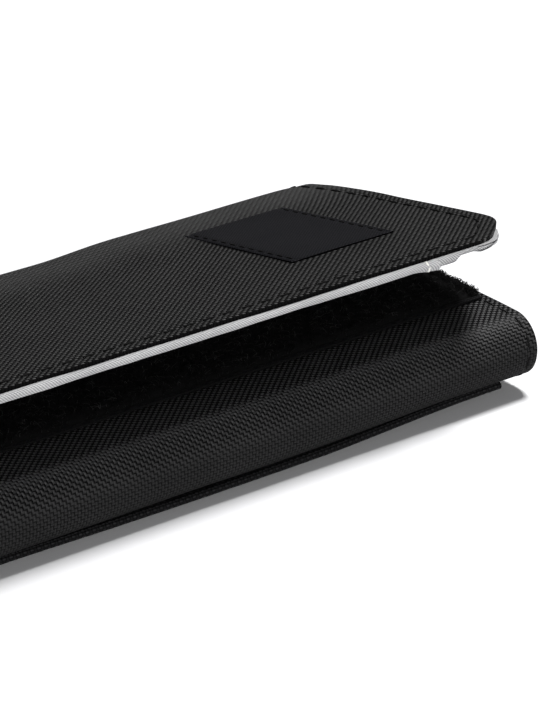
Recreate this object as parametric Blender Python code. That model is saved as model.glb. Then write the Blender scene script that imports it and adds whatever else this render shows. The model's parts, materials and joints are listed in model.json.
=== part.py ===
"""Three-panel fabric travel wallet, lying on its back with the front flap a little open.

+X runs along the long side towards the open end of the note compartment, -Y is the front
fold, +Y the rear fold and +Z is up. The back panel lies on the table, the inner panel is
folded over it from the front, and the flap comes over both from the rear fold.
"""

import math

import bmesh
import bpy

# Panels
LENGTH = 0.152
BACK_SPAN = 0.0588
INNER_DEPTH = 0.054
FLAP_DEPTH = 0.0664
FRONT_FOLD_R = 0.0065
REAR_FOLD_R = 0.0105
FLAP_TILT = math.radians(10.7)

# Layers of each panel, counted from its outer face, and the gaps between pieces
COVER_T = 0.0008
BOARD_T = 0.0006
SHIELD_T = 0.0003
LINING_T = 0.0005
LAYER_GAP = 0.0003
NOTE_GAP = 0.0006
COVER_HEM_W = 0.008
BOARD_MARGIN = 0.0015
SHIELD_INSET = 0.002
LINING_INSET = 0.001

# Flap edge
FLAP_END_INSET = 0.0007
COVER_CORNER_R = 0.0172
LINING_CORNER_R = 0.0135
FLAP_BOARD_INSET = 0.005
LIP_END_INSET = 0.025
LIP_W = 0.0018
LIP_T = 0.0016
LIP_PROUD = 0.0007
CORNER_FOLD_W = 0.0012
CORNER_FOLD_T = 0.0016

# Hook and loop closure
STRIP_W = 0.020
STRIP_END_INSET = 0.0022
LOOP_FROM_FOLD = 0.008
LOOP_T = 0.0012
HOOK_T = 0.0020

# Label on the flap
LABEL_FROM_END = 0.0193
LABEL_W = 0.025
LABEL_D = 0.036
LABEL_FROM_EDGE = 0.0199
LABEL_T = 0.0004

# Pockets inside
SLOT_COUNT = 2
SLOT_T = 0.0004
SLOT_MARGIN = 0.0012
SLOT_END_INSET = 0.029
SLOT_MOUTH_INSET = 0.023
SLOT_STEP = 0.012
SLIP_END_INSET = 0.007
SLIP_FROM_FOLD = 0.003
SLIP_D = 0.022
WINDOW_T = 0.00025
FRAME_T = 0.0004
FRAME_L = 0.098
FRAME_D = 0.042
FRAME_RAIL = 0.005
FRAME_FROM_FOLD = 0.004
EDGE_TAPE_T = 0.0004
EDGE_TAPE_W = 0.004

# Coin pocket under the back panel
POCKET_RISE = 0.0027
POCKET_T = 0.0008
POCKET_END_INSET = 0.004
POCKET_FRONT = 0.002
POCKET_HEM_T = 0.0016
POCKET_HEM_W = 0.003
POCKET_SEAM_W = 0.002
FACING_D = 0.0063

# Zip of the coin pocket
ZIP_FROM_REAR = 0.0094
ZIP_SLOT_W = 0.005
ZIP_DROP = 0.0012
TAPE_END_INSET = 0.010
TAPE_W = 0.0037
TAPE_T = 0.0004
COIL_END_INSET = 0.017
COIL_W = 0.0009
COIL_T = 0.0010
COIL_SPLIT = 0.0012
STOP_L = 0.0017
SLIDER_L = 0.0075
SLIDER_W = 0.0040
SLIDER_PLATE = 0.00025
SLIDER_CLEAR = 0.0002
SLIDER_FROM_END = 0.0005
WEDGE_W = 0.0006
WEDGE_L = 0.0022
PULL_L = 0.0090
PULL_W = 0.0034
PULL_T = 0.0004

ARC_STEPS = 24
CORNER_STEPS = 12
SMOOTH_ANGLE = math.radians(40)

# Where the fold axes run, with the finished wallet centred on the origin in plan
HALF_DEPTH = (BACK_SPAN + FRONT_FOLD_R + REAR_FOLD_R) / 2
FRONT_Y = FRONT_FOLD_R - HALF_DEPTH
REAR_Y = HALF_DEPTH - REAR_FOLD_R
FRONT_AXIS = (0.0, FRONT_Y, POCKET_RISE + FRONT_FOLD_R)
REAR_AXIS = (0.0, REAR_Y, POCKET_RISE + REAR_FOLD_R)

# Depth of each layer below a panel's outer face
BOARD_AT = COVER_T + LAYER_GAP
SHIELD_AT = BOARD_AT + BOARD_T + LAYER_GAP
LINING_AT = SHIELD_AT + SHIELD_T + NOTE_GAP
PANEL_T = LINING_AT + LINING_T

HALF = LENGTH / 2
BOARD_HALF = HALF - COVER_HEM_W - LAYER_GAP
SHIELD_HALF = HALF - SHIELD_INSET
LINING_HALF = HALF - LINING_INSET
STRIP_HALF = HALF - STRIP_END_INSET
FLAP_HALF = HALF - FLAP_END_INSET
LIP_HALF = HALF - LIP_END_INSET
POCKET_HALF = HALF - POCKET_END_INSET
TAPE_HALF = HALF - TAPE_END_INSET
COIL_HALF = HALF - COIL_END_INSET


def clear_scene():
    for item in list(bpy.data.objects):
        bpy.data.objects.remove(item, do_unlink=True)


def make_material(name, colour, roughness, metallic=0.0, alpha=1.0):
    material = bpy.data.materials.new(name)
    material.use_nodes = True
    shader = material.node_tree.nodes["Principled BSDF"]
    shader.inputs["Base Color"].default_value = (*colour, 1.0)
    shader.inputs["Roughness"].default_value = roughness
    shader.inputs["Metallic"].default_value = metallic
    shader.inputs["Alpha"].default_value = alpha
    return material


FABRIC = ((0.022, 0.022, 0.024), 0.85)
LINING = ((0.36, 0.36, 0.39), 0.75)
BOARD = ((0.10, 0.10, 0.10), 0.9)
SHIELD = ((0.42, 0.43, 0.45), 0.45, 0.6)
PILE = ((0.010, 0.010, 0.011), 0.95)
TAPE = ((0.016, 0.016, 0.018), 0.8)
NYLON = ((0.02, 0.02, 0.022), 0.45)
METAL = ((0.05, 0.05, 0.055), 0.35, 0.9)
CLEAR = ((0.85, 0.87, 0.88), 0.12, 0.0, 0.35)


def prism(name, outline, low, high, plane, look, place=(0.0, 0.0, 0.0), tilt=0.0):
    """Solid with a flat outline in one plane, drawn out from low to high square to it."""
    corner = {
        "XY": lambda a, b, c: (a, b, c),
        "YZ": lambda a, b, c: (c, a, b),
        "XZ": lambda a, b, c: (a, c, b),
    }[plane]
    shape = bmesh.new()
    bottom = [shape.verts.new(corner(a, b, low)) for a, b in outline]
    top = [shape.verts.new(corner(a, b, high)) for a, b in outline]
    shape.faces.new(bottom)
    shape.faces.new(top)
    for index in range(len(outline)):
        after = (index + 1) % len(outline)
        shape.faces.new((bottom[index], bottom[after], top[after], top[index]))
    bmesh.ops.recalc_face_normals(shape, faces=shape.faces)
    mesh = bpy.data.meshes.new(name)
    shape.to_mesh(mesh)
    shape.free()
    mesh.shade_smooth()
    mesh.set_sharp_from_angle(angle=SMOOTH_ANGLE)
    mesh.materials.append(make_material(name, *look))
    piece = bpy.data.objects.new(name, mesh)
    piece.location = place
    piece.rotation_euler = (tilt, 0.0, 0.0)
    bpy.context.collection.objects.link(piece)
    return piece


def box(name, x, y, z, look, place=(0.0, 0.0, 0.0), tilt=0.0):
    outline = [(x[0], y[0]), (x[1], y[0]), (x[1], y[1]), (x[0], y[1])]
    return prism(name, outline, z[0], z[1], "XY", look, place, tilt)


def cut_box(target, name, x, y, z):
    """Cut a box out of a piece, in the piece's own frame."""
    cutter = box(name, x, y, z, BOARD, target.location, target.rotation_euler.x)
    cutter.hide_render = True
    cutter.display_type = "WIRE"
    cut = target.modifiers.new(name, "BOOLEAN")
    cut.operation = "DIFFERENCE"
    cut.solver = "EXACT"
    cut.object = cutter


def join_box(target, name, x, y, z):
    """Join a box to a piece, in the piece's own frame."""
    added = box(name, x, y, z, BOARD, target.location, target.rotation_euler.x)
    added.hide_render = True
    added.display_type = "WIRE"
    join = target.modifiers.new(name, "BOOLEAN")
    join.operation = "UNION"
    join.solver = "EXACT"
    join.object = added


def arc(centre, radius, start, end, steps):
    points = []
    for step in range(steps + 1):
        angle = start + (end - start) * step / steps
        points.append((centre[0] + radius * math.cos(angle), centre[1] + radius * math.sin(angle)))
    return points


def fold_section(outer, thickness, start, end):
    """Section of a sheet bent round the origin, from one angle to another."""
    outside = arc((0.0, 0.0), outer, start, end, ARC_STEPS)
    inside = arc((0.0, 0.0), outer - thickness, end, start, ARC_STEPS)
    return outside + inside


def hemmed_section(half, low, high, hem_high):
    """Section of a cover along its length, with both end edges folded over inside."""
    inner = half - COVER_HEM_W
    return [
        (-half, low),
        (half, low),
        (half, hem_high),
        (inner, hem_high),
        (inner, high),
        (-inner, high),
        (-inner, hem_high),
        (-half, hem_high),
    ]


def flap_outline(half, depth, radius):
    """Plan of a flap layer in the flap's frame, whose -Y runs to the rounded free edge."""
    right = arc((half - radius, radius - depth), radius, 0.0, -math.pi / 2, CORNER_STEPS)
    left = arc((radius - half, radius - depth), radius, -math.pi / 2, -math.pi, CORNER_STEPS)
    return [(half, -LAYER_GAP)] + right + left + [(-half, -LAYER_GAP)]


def rolled_edge(width, thickness, centre):
    """Oval section of a rolled edge."""
    points = []
    for step in range(ARC_STEPS):
        angle = 2 * math.pi * step / ARC_STEPS
        points.append((centre[0] + width / 2 * math.cos(angle), centre[1] + thickness / 2 * math.sin(angle)))
    return points


def build_back_panel():
    """Layers of the back panel, from the table up, between the two folds."""
    y = (FRONT_Y + LAYER_GAP, REAR_Y - LAYER_GAP)
    base = POCKET_RISE
    section = hemmed_section(HALF, base, base + COVER_T, base + 2 * COVER_T)
    prism("back_cover", section, y[0], y[1], "XZ", FABRIC)
    inside = (y[0] + BOARD_MARGIN, y[1] - BOARD_MARGIN)
    level = base + BOARD_AT
    box("back_board", (-BOARD_HALF, BOARD_HALF), inside, (level, level + BOARD_T), BOARD)
    level = base + SHIELD_AT
    box("back_shield", (-SHIELD_HALF, SHIELD_HALF), inside, (level, level + SHIELD_T), SHIELD)
    level = base + LINING_AT
    box("back_lining", (-LINING_HALF, LINING_HALF), y, (level, level + LINING_T), LINING)


def build_card_slots():
    """Two card slots on the back lining, stepped so that the card edges show."""
    y = (FRONT_Y + SLOT_MARGIN, REAR_Y - SLOT_MARGIN)
    low = SLOT_END_INSET - HALF
    level = POCKET_RISE + PANEL_T + LAYER_GAP
    for index in range(SLOT_COUNT):
        mouth = HALF - SLOT_MOUTH_INSET - index * SLOT_STEP
        box(f"card_slot_{index + 1}", (low, mouth), y, (level, level + SLOT_T), LINING)
        level += SLOT_T + LAYER_GAP


def build_folds():
    """Cover and lining where they bend round the front and rear folds."""
    down = math.radians(270)
    up = math.radians(90)
    lining_front = FRONT_FOLD_R - LINING_AT
    lining_rear = REAR_FOLD_R - LINING_AT
    section = fold_section(FRONT_FOLD_R, COVER_T, up, down)
    prism("front_fold", section, -HALF, HALF, "YZ", FABRIC, FRONT_AXIS)
    section = fold_section(lining_front, LINING_T, up, down)
    prism("front_fold_lining", section, -LINING_HALF, LINING_HALF, "YZ", LINING, FRONT_AXIS)
    top = up - FLAP_TILT
    section = fold_section(REAR_FOLD_R, COVER_T, -up, top)
    prism("rear_fold", section, -HALF, HALF, "YZ", FABRIC, REAR_AXIS)
    section = fold_section(lining_rear, LINING_T, -up, top)
    prism("rear_fold_lining", section, -LINING_HALF, LINING_HALF, "YZ", LINING, REAR_AXIS)


def build_inner_panel():
    """Layers of the inner panel, with the loop strip outside and the card window inside."""
    y = (LAYER_GAP, INNER_DEPTH)
    top = FRONT_FOLD_R
    section = hemmed_section(HALF, top, top - COVER_T, top - 2 * COVER_T)
    prism("inner_cover", section, y[0], y[1], "XZ", FABRIC, FRONT_AXIS)
    inside = (y[0] + BOARD_MARGIN, y[1] - BOARD_MARGIN)
    level = top - BOARD_AT
    x = (-BOARD_HALF, BOARD_HALF)
    box("inner_board", x, inside, (level - BOARD_T, level), BOARD, FRONT_AXIS)
    level = top - SHIELD_AT
    x = (-SHIELD_HALF, SHIELD_HALF)
    box("inner_shield", x, inside, (level - SHIELD_T, level), SHIELD, FRONT_AXIS)
    level = top - LINING_AT
    x = (-LINING_HALF, LINING_HALF)
    box("inner_lining", x, y, (level - LINING_T, level), LINING, FRONT_AXIS)
    build_inner_edge_tape()
    level = top + LAYER_GAP
    x = (-STRIP_HALF, STRIP_HALF)
    strip = (LOOP_FROM_FOLD, LOOP_FROM_FOLD + STRIP_W)
    box("loop_strip", x, strip, (level, level + LOOP_T), PILE, FRONT_AXIS)
    build_card_window()


def build_inner_edge_tape():
    """Binding tape round the free edge of the inner panel, closing cover and lining."""
    top = FRONT_FOLD_R + LAYER_GAP
    bottom = FRONT_FOLD_R - PANEL_T - LAYER_GAP
    wall = INNER_DEPTH + LAYER_GAP
    back = wall + EDGE_TAPE_T - EDGE_TAPE_W
    section = [
        (back, top + EDGE_TAPE_T),
        (back, top),
        (wall, top),
        (wall, bottom),
        (back, bottom),
        (back, bottom - EDGE_TAPE_T),
        (wall + EDGE_TAPE_T, bottom - EDGE_TAPE_T),
        (wall + EDGE_TAPE_T, top + EDGE_TAPE_T),
    ]
    prism("inner_edge_tape", section, -LINING_HALF, LINING_HALF, "YZ", LINING, FRONT_AXIS)


def build_card_window():
    """Clear card window and its frame on the lining side of the inner panel."""
    level = FRONT_FOLD_R - PANEL_T - LAYER_GAP
    x = (-FRAME_L / 2, FRAME_L / 2)
    y = (FRAME_FROM_FOLD, FRAME_FROM_FOLD + FRAME_D)
    box("id_window", x, y, (level - WINDOW_T, level), CLEAR, FRONT_AXIS)
    level -= WINDOW_T + LAYER_GAP
    frame = box("id_frame", x, y, (level - FRAME_T, level), LINING, FRONT_AXIS)
    hole_x = (x[0] + FRAME_RAIL, x[1] - FRAME_RAIL)
    hole_y = (y[0] + FRAME_RAIL, y[1] - FRAME_RAIL)
    cut_box(frame, "id_frame_hole", hole_x, hole_y, (level - 2 * FRAME_T, level + FRAME_T))


def flap_piece(name, outline, high, low, look):
    return prism(name, outline, low, high, "XY", look, REAR_AXIS, -FLAP_TILT)


def build_flap():
    """Layers of the flap, with the label outside and the hook strip inside."""
    top = REAR_FOLD_R
    outline = flap_outline(FLAP_HALF, FLAP_DEPTH, COVER_CORNER_R)
    flap_piece("flap_cover", outline, top, top - COVER_T, FABRIC)
    depth = FLAP_DEPTH - FLAP_BOARD_INSET
    half = FLAP_HALF - FLAP_BOARD_INSET
    outline = flap_outline(half, depth, COVER_CORNER_R - FLAP_BOARD_INSET)
    level = top - BOARD_AT
    flap_piece("flap_board", outline, level, level - BOARD_T, BOARD)
    level = top - SHIELD_AT
    flap_piece("flap_shield", outline, level, level - SHIELD_T, SHIELD)
    lining_half = FLAP_HALF - CORNER_FOLD_W - LAYER_GAP
    lining_depth = FLAP_DEPTH + LIP_PROUD - LIP_W - LAYER_GAP
    outline = flap_outline(lining_half, lining_depth, LINING_CORNER_R)
    level = top - LINING_AT
    flap_piece("flap_lining", outline, level, level - LINING_T, LINING)
    build_flap_edge(lining_half, lining_depth)
    build_label()
    build_flap_inside()


def build_flap_edge(lining_half, lining_depth):
    """Rolled lip of lining along the free edge, and the thinner fold round each corner."""
    middle = REAR_FOLD_R - COVER_T - LAYER_GAP - LIP_T / 2
    centre = (LIP_W / 2 - FLAP_DEPTH - LIP_PROUD, middle)
    section = rolled_edge(LIP_W, LIP_T, centre)
    prism("flap_lip", section, -LIP_HALF, LIP_HALF, "YZ", LINING, REAR_AXIS, -FLAP_TILT)
    level = REAR_FOLD_R - COVER_T - LAYER_GAP - CORNER_FOLD_T
    start = LIP_HALF + LAYER_GAP
    x = lining_half - LINING_CORNER_R
    y = LINING_CORNER_R - lining_depth
    near = LINING_CORNER_R + LAYER_GAP
    far = near + CORNER_FOLD_W
    for side, name in ((1, "right"), (-1, "left")):
        outside = [(side * start, y - far)]
        outside += [(side * px, py) for px, py in arc((x, y), far, -math.pi / 2, 0.0, CORNER_STEPS)]
        inside = [(side * px, py) for px, py in arc((x, y), near, 0.0, -math.pi / 2, CORNER_STEPS)]
        inside.append((side * start, y - near))
        outline = outside + inside
        flap_piece(f"flap_corner_fold_{name}", outline, level + CORNER_FOLD_T, level, LINING)


def build_label():
    """Woven label sewn on the flap, left plain."""
    level = REAR_FOLD_R + LAYER_GAP
    end = HALF - LABEL_FROM_END
    x = (end - LABEL_W, end)
    near = LABEL_FROM_EDGE - FLAP_DEPTH
    far = near + LABEL_D
    outline = [(x[0], near), (x[1], near), (x[1], far), (x[0], far)]
    flap_piece("label", outline, level + LABEL_T, level, TAPE)


def build_flap_inside():
    """Hook strip that meets the loop strip when the flap closes, and a slip pocket behind it."""
    level = REAR_FOLD_R - PANEL_T - LAYER_GAP
    back = FRONT_Y + LOOP_FROM_FOLD + STRIP_W - REAR_Y
    front = back - STRIP_W
    outline = [(-STRIP_HALF, front), (STRIP_HALF, front), (STRIP_HALF, back), (-STRIP_HALF, back)]
    flap_piece("hook_strip", outline, level, level - HOOK_T, PILE)
    half = HALF - SLIP_END_INSET
    back = -SLIP_FROM_FOLD
    front = back - SLIP_D
    outline = [(-half, front), (half, front), (half, back), (-half, back)]
    flap_piece("flap_slip_pocket", outline, level, level - SLOT_T, LINING)


ZIP_Y = REAR_Y - ZIP_FROM_REAR
ZIP_Z = POCKET_RISE - ZIP_DROP
SLOT_FRONT = ZIP_Y - ZIP_SLOT_W / 2
SLOT_REAR = ZIP_Y + ZIP_SLOT_W / 2
COIL_FRONT = ZIP_Y - COIL_SPLIT / 2
COIL_REAR = ZIP_Y + COIL_SPLIT / 2


def build_coin_pocket():
    """Flat coin pocket sewn under the back panel: main panel, and the facing behind the zip."""
    half = POCKET_HALF
    front = FRONT_Y - POCKET_FRONT
    seam_top = POCKET_RISE - LAYER_GAP
    panel = box("coin_pocket_panel", (-half, half), (front, SLOT_FRONT), (0.0, POCKET_T), FABRIC)
    hem = (front, front + POCKET_HEM_W)
    join_box(panel, "pocket_hem", (-half, half), hem, (0.0, POCKET_HEM_T))
    seam = (hem[1], hem[1] + POCKET_SEAM_W)
    join_box(panel, "pocket_front_seam", (-half, half), seam, (0.0, seam_top))
    ends = ((-half, POCKET_SEAM_W - half), (half - POCKET_SEAM_W, half))
    for index, x in enumerate(ends):
        join_box(panel, f"pocket_end_seam_{index}", x, (hem[1], SLOT_FRONT), (0.0, seam_top))
    rear = SLOT_REAR + FACING_D
    facing = box("coin_pocket_facing", (-half, half), (SLOT_REAR, rear), (0.0, POCKET_T), FABRIC)
    seam = (rear - POCKET_SEAM_W, rear)
    join_box(facing, "facing_seam", (-half, half), seam, (0.0, seam_top))


def build_zip():
    """Tapes, coils and end stops of the zip in the slot between panel and facing."""
    tape_z = (ZIP_Z - TAPE_T / 2, ZIP_Z + TAPE_T / 2)
    coil_z = (ZIP_Z - COIL_T / 2, ZIP_Z + COIL_T / 2)
    tape_x = (-TAPE_HALF, TAPE_HALF)
    coil_x = (-COIL_HALF, COIL_HALF)
    edge = COIL_FRONT - COIL_W - LAYER_GAP
    box("zip_tape_front", tape_x, (edge - TAPE_W, edge), tape_z, TAPE)
    box("zip_coil_front", coil_x, (COIL_FRONT - COIL_W, COIL_FRONT), coil_z, NYLON)
    edge = COIL_REAR + COIL_W + LAYER_GAP
    box("zip_tape_rear", tape_x, (edge, edge + TAPE_W), tape_z, TAPE)
    box("zip_coil_rear", coil_x, (COIL_REAR, COIL_REAR + COIL_W), coil_z, NYLON)
    stop_y = (COIL_FRONT - COIL_W, COIL_REAR + COIL_W)
    near = COIL_HALF + LAYER_GAP
    box("zip_stop_open_end", (-near - STOP_L, -near), stop_y, coil_z, METAL)
    box("zip_stop_closed_end", (near, near + STOP_L), stop_y, coil_z, METAL)


def build_slider():
    """Slider with its two plates and wedge, and the pull tab that hangs from its end."""
    end = COIL_HALF - SLIDER_FROM_END
    start = end - SLIDER_L
    low = ZIP_Z - COIL_T / 2 - SLIDER_CLEAR - SLIDER_PLATE
    high = ZIP_Z + COIL_T / 2 + SLIDER_CLEAR
    middle = (start + end) / 2
    place = (middle, ZIP_Y, low)
    half = SLIDER_L / 2
    wide = (-SLIDER_W / 2, SLIDER_W / 2)
    slider = box("zip_slider", (-half, half), wide, (0.0, SLIDER_PLATE), METAL, place)
    plate = (high - low, high - low + SLIDER_PLATE)
    wedge = (-WEDGE_W / 2, WEDGE_W / 2)
    join_box(slider, "slider_wedge", (half - WEDGE_L, half), wedge, (0.0, plate[1]))
    join_box(slider, "slider_top_plate", (-half, half), wide, plate)
    axis = (start - LAYER_GAP, ZIP_Y, low + SLIDER_PLATE / 2)
    pull_wide = (-PULL_W / 2, PULL_W / 2)
    pull_high = (-PULL_T / 2, PULL_T / 2)
    box("zip_pull", (-PULL_L, 0.0), pull_wide, pull_high, METAL, axis)


clear_scene()
build_back_panel()
build_card_slots()
build_folds()
build_inner_panel()
build_flap()
build_coin_pocket()
build_zip()
build_slider()
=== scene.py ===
"""Looks of a fabric trifold wallet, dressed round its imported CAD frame."""

import json
import math
import random
from contextlib import contextmanager

import bpy
import numpy as np
from mathutils import Matrix, Vector, noise


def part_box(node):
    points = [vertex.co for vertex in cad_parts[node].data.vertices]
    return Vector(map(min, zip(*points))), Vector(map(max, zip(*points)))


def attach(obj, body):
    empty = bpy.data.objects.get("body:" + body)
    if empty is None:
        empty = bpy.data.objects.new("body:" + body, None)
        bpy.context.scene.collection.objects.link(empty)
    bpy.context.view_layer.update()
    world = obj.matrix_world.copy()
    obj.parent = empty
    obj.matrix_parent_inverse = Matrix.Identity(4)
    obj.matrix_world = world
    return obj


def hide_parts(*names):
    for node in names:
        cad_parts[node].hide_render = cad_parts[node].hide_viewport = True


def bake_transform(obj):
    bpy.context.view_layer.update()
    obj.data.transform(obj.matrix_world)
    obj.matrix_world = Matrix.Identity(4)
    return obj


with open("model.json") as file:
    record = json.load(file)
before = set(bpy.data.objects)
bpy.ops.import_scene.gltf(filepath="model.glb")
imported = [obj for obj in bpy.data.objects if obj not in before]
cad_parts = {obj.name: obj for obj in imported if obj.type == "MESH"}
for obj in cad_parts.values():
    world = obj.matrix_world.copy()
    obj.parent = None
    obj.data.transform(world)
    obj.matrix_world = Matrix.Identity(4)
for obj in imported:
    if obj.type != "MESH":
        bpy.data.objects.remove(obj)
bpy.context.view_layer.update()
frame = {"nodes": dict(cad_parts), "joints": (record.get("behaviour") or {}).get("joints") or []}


# Back panel
# The panel that lies on the table: a black plain-weave cover outside, a plastic stiffener and a
# metallised layer inside it, and a grey twill lining. Its two ends are turned in and hemmed.

axes = {joint["name"]: Vector(joint["pos_m"]) for joint in frame["joints"] if "pos_m" in joint}
FRONT = axes["inner_fold"]
REAR = axes["flap_fold"]
back_low, back_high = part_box("back_cover")
HALF = back_high.x
FRONT_R = FRONT.z - back_low.z
REAR_R = REAR.z - back_low.z
BACK_SPAN = REAR.y - FRONT.y
FORWARD = math.pi
COARSE = 0.004
MEDIUM = 0.003
COVER_T = 0.0008
COVER_RIM = 0.0003
HEM_T = 0.0015
HEM_W = 0.008
END_SEAM = 0.0034
RIM_W = 0.0008
RIM_DROP = 0.00012
SEAM_W = 0.0006
SEAM_DROP = 0.00014
EDGE_STEPS = (0.0, 0.0003, 0.0007, 0.0012, 0.0018, 0.0024, 0.0029, 0.0034, 0.0039, 0.0046, 0.006, 0.0085)


def spread(low, high, gap):
    """Stations from one edge of a cloth to the other, close together near both edges."""
    near = [low + step for step in EDGE_STEPS]
    far = [high - step for step in reversed(EDGE_STEPS)]
    count = max(1, round((far[0] - near[-1]) / gap))
    middle = [near[-1] + (far[0] - near[-1]) * index / count for index in range(1, count)]
    return near + middle + far


def even(low, high, gap):
    count = max(1, round((high - low) / gap))
    return [low + (high - low) * index / count for index in range(count + 1)]


def follow(start, heading, legs, run):
    """Place and outward normal in Y and Z, after a run along straight legs and round turns."""
    y, z = start
    for length, radius in legs:
        step = min(run, length)
        run -= step
        if radius is None:
            y += step * math.cos(heading)
            z += step * math.sin(heading)
        else:
            turned = heading - step / radius
            y += radius * (math.sin(heading) - math.sin(turned))
            z -= radius * (math.cos(heading) - math.cos(turned))
            heading = turned
    return (y, z), (-math.sin(heading), math.cos(heading))


def ripple(x, run, size, height):
    """Slow rise and fall of handled cloth."""
    return height * noise.noise(Vector((x / size, run / size, size * 1000)))


def bell(off, width):
    return math.exp(-((off / width) ** 2))


def seam_dip(edge):
    """How far a hemmed cloth sinks, at a distance from its edge, over the rim and the seam."""
    rim = max(0.0, 1 - edge / RIM_W)
    return RIM_DROP * rim * rim + SEAM_DROP * bell(edge - END_SEAM, SEAM_W)


def laid(start, heading, legs, sink):
    """The way a cloth lies: the place of each spot of its flat cut."""

    def lie(x, run):
        (y, z), (across, up) = follow(start, heading, legs, run)
        depth = sink(x, run)
        return Vector((x, y - across * depth, z - up * depth))

    return lie


def added(operator, name, scale=(1, 1, 1), **settings):
    """A new primitive, alone in the selection, with its place and size in its mesh."""
    bpy.ops.object.select_all(action="DESELECT")
    operator(**settings)
    made = bpy.context.object
    made.name = name
    made.scale = scale
    bpy.ops.object.transform_apply(location=True, rotation=True, scale=True)
    return made


def lay_cloth(name, columns, rows, lie, spots=None):
    """A sheet cut as a flat grid, each of whose spots is then put where the cloth lies."""
    grid = {"x_subdivisions": len(columns) - 1, "y_subdivisions": len(rows) - 1}
    cloth = added(bpy.ops.mesh.primitive_grid_add, name, **grid)
    cloth.data.name = name
    spots = spots or [(x, run) for run in rows for x in columns]
    cloth.data.vertices.foreach_set("co", np.ravel([lie(x, run) for x, run in spots]))
    cut = cloth.data.uv_layers.active
    cut.name = "cut"
    for loop, place in zip(cloth.data.loops, cut.uv):
        place.vector = spots[loop.vertex_index]
    return cloth


def pick(piece):
    bpy.ops.object.select_all(action="DESELECT")
    piece.select_set(True)
    bpy.context.view_layer.objects.active = piece


def finish_with(piece, kind, **settings):
    """Add a modifier to a piece and apply it."""
    pick(piece)
    modifier = piece.modifiers.new(kind, kind)
    for name, value in settings.items():
        setattr(modifier, name, value)
    bpy.ops.object.modifier_apply(modifier=modifier.name)


def soften(piece, width, segments, angle):
    """Round off the edges of a piece that turn by more than an angle."""
    limit = math.radians(angle)
    finish_with(piece, "BEVEL", width=width, segments=segments, limit_method="ANGLE", angle_limit=limit)


def smooth(piece, angle=40):
    pick(piece)
    bpy.ops.object.shade_smooth_by_angle(angle=math.radians(angle))


def thicken(cloth, thick, rim, hemmed=None, hem_t=None):
    """Give a cloth its thickness below the laid face, more where it is hemmed, and soft edges."""
    settings = {"thickness": thick, "offset": -1, "use_even_offset": True}
    if hemmed:
        group = cloth.vertex_groups.new(name="hem")
        group.add([v.index for v in cloth.data.vertices if hemmed(v.co)], 1.0, "REPLACE")
        settings.update(thickness=hem_t, vertex_group="hem", thickness_vertex_group=thick / hem_t)
    finish_with(cloth, "SOLIDIFY", **settings)
    soften(cloth, rim, segments=3, angle=55)
    smooth(cloth)


def end_gap(x):
    return HALF - abs(x)


def thicken_cover(cloth, hem_w):
    """Cover cloth, doubled along its two ends."""
    thicken(cloth, COVER_T, COVER_RIM, lambda place: end_gap(place.x) < hem_w, HEM_T)


class Feed:
    """One socket in a material's nodes, which takes part in sums as a number does."""

    def __init__(self, tree, socket=None):
        self.tree = tree
        self.socket = socket

    def node(self, kind, settings, links, out=0):
        made = self.tree.nodes.new(kind)
        for name, value in settings.items():
            setattr(made, name, value)
        for name, value in links.items():
            if isinstance(value, Feed):
                self.tree.links.new(value.socket, made.inputs[name])
            else:
                made.inputs[name].default_value = value
        return Feed(self.tree, made.outputs[out])

    def also(self, out):
        return Feed(self.tree, self.socket.node.outputs[out])

    def math(self, operation, *terms):
        return self.node("ShaderNodeMath", {"operation": operation}, dict(enumerate(terms)))

    def ease(self, start, end):
        """0 before the start, 1 after the end, and smooth between."""
        links = {"Value": self, "From Min": start, "From Max": end}
        return self.node("ShaderNodeMapRange", {"interpolation_type": "SMOOTHSTEP"}, links)

    def into(self, socket):
        self.tree.links.new(self.socket, socket)

    def __add__(self, other):
        return self.math("ADD", self, other)

    def __sub__(self, other):
        return self.math("SUBTRACT", self, other)

    def __rsub__(self, other):
        return self.math("SUBTRACT", other, self)

    def __mul__(self, other):
        return self.math("MULTIPLY", self, other)

    def __truediv__(self, other):
        return self.math("DIVIDE", self, other)

    def __abs__(self):
        return self.math("ABSOLUTE", self)

    __radd__ = __add__
    __rmul__ = __mul__


def new_finish(name, roughness, **fixed):
    """A finish with its fixed values set, its shader's inputs, and a feed to build its pattern."""
    material = bpy.data.materials.new(name)
    material.use_nodes = True
    inputs = material.node_tree.nodes["Principled BSDF"].inputs
    inputs["Roughness"].default_value = roughness
    for socket, value in fixed.items():
        inputs[socket.replace("_", " ")].default_value = value
    return material, inputs, Feed(material.node_tree)


def grey(level, blue=None):
    return (level, level, blue or level)


def paint(feed, inputs, share, dark, light):
    """Colour a finish between two colours. A colour mix has its factor at 0, and its colours at 6 and 7."""
    links = {0: share, 6: (*dark, 1), 7: (*light, 1)}
    feed.node("ShaderNodeMix", {"data_type": "RGBA"}, links, out=2).into(inputs["Base Color"])


def emboss(feed, inputs, height, metres):
    feed.node("ShaderNodeBump", {}, {"Height": height, "Distance": metres}).into(inputs["Normal"])


def cut_map(feed, across_pitch, along_pitch):
    """Yarn counts across and along a cloth, from the map of its flat cut."""
    cut = feed.node("ShaderNodeUVMap", {"uv_map": "cut"}, {})
    across = feed.node("ShaderNodeSeparateXYZ", {}, {0: cut})
    return across / across_pitch, across.also(1) / along_pitch


def mottle(feed, scale, detail=2.0):
    """Soft cloudy variation over a surface, from 0 to 1."""
    spot = feed.node("ShaderNodeTexCoord", {}, {}, out="Object")
    return feed.node("ShaderNodeTexNoise", {}, {"Vector": spot, "Scale": scale, "Detail": detail})


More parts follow.
